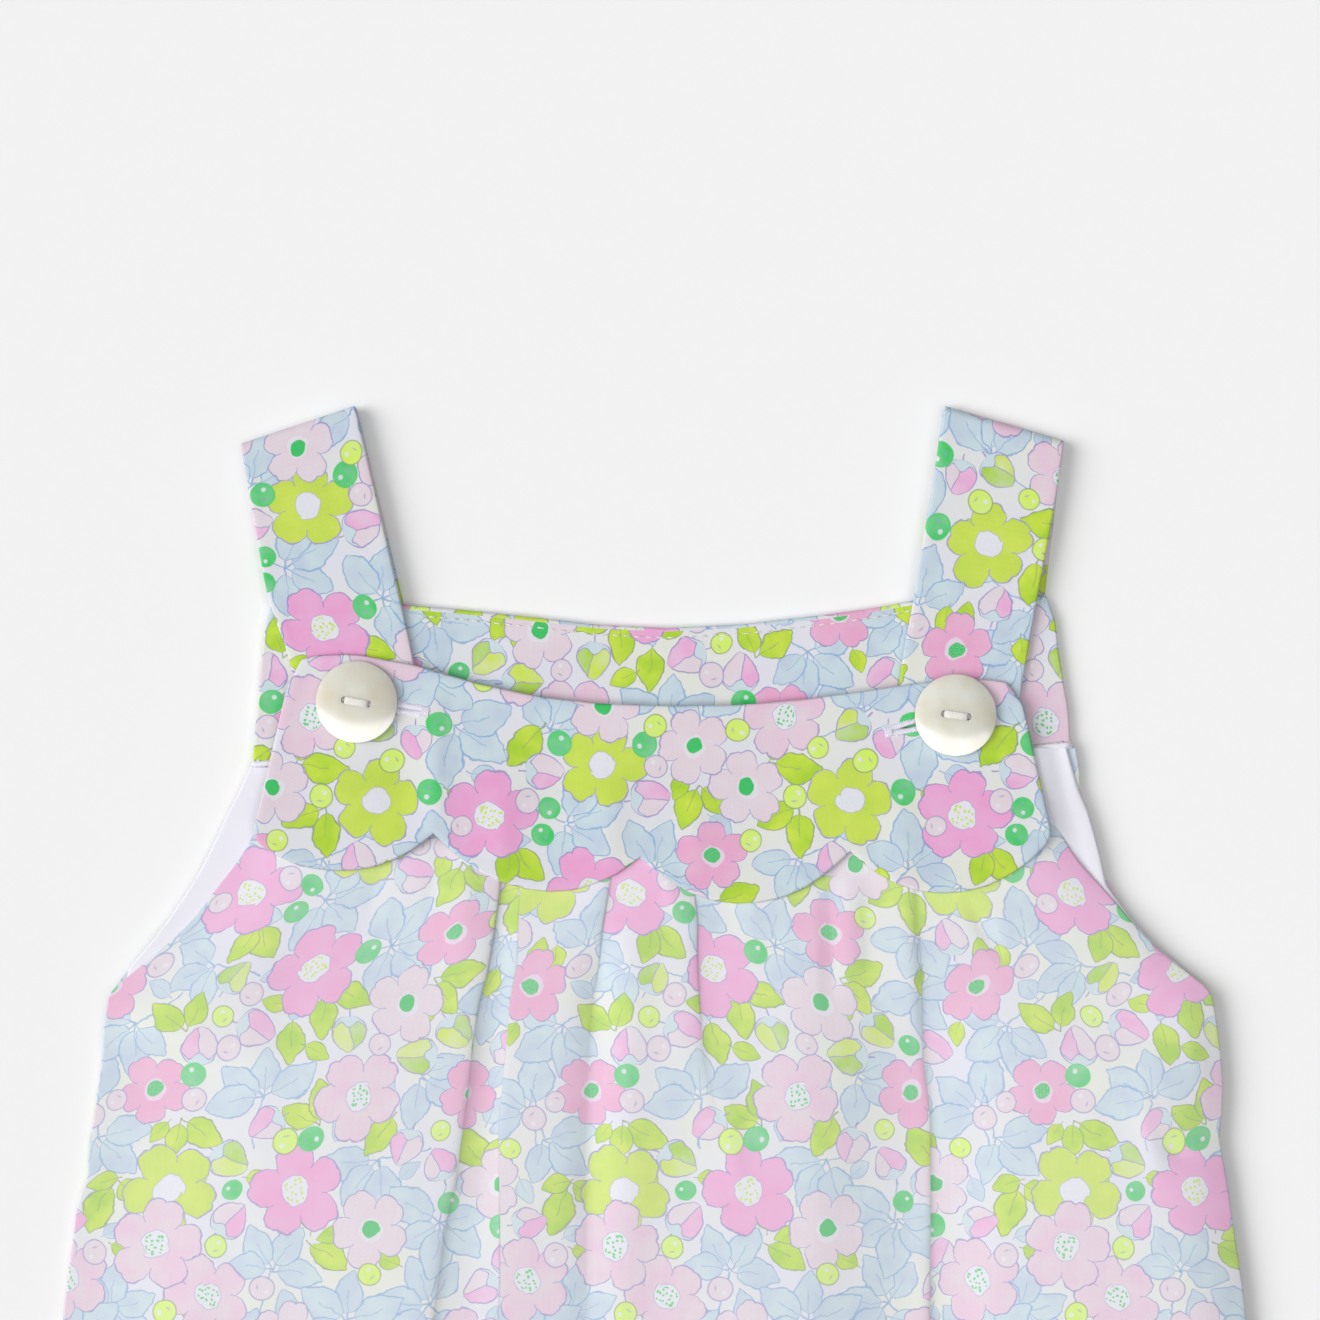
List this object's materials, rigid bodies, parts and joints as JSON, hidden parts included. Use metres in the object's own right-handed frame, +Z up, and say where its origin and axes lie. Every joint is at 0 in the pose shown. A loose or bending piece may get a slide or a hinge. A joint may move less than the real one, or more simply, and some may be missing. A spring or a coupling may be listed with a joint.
{
  "type": "baby overalls",
  "caption": "Baby overalls laid flat: scalloped bib buttoned to two folded straps, back yoke, white-lined armholes, pleated front and short loose legs.",
  "frame": {"origin": "on the surface under the garment, at the middle of its length and width", "axes": "+Z up out of the garment's front, +Y from the leg hems towards the straps, +X to the viewer's right"},
  "size_m": [0.295, 0.48, 0.0092],
  "materials": {
    "floral_cotton": "light, smooth printed cotton with a small dense pattern of flowers, leaves and berries on white",
    "white_lining": "plain white cotton",
    "shell_button": "polished ivory shell with a pearly sheen",
    "sewing_thread": "white twisted sewing thread"
  },
  "bodies": {
    "root": {"front_panel": "floral_cotton", "front_yoke": "floral_cotton", "back_panel": "floral_cotton", "back_yoke": "floral_cotton", "back_lining": "white_lining", "strap_left": "floral_cotton", "strap_right": "floral_cotton", "button_left": "shell_button", "button_right": "shell_button", "thread_left": "sewing_thread", "thread_right": "sewing_thread"}
  },
  "joints": []
}
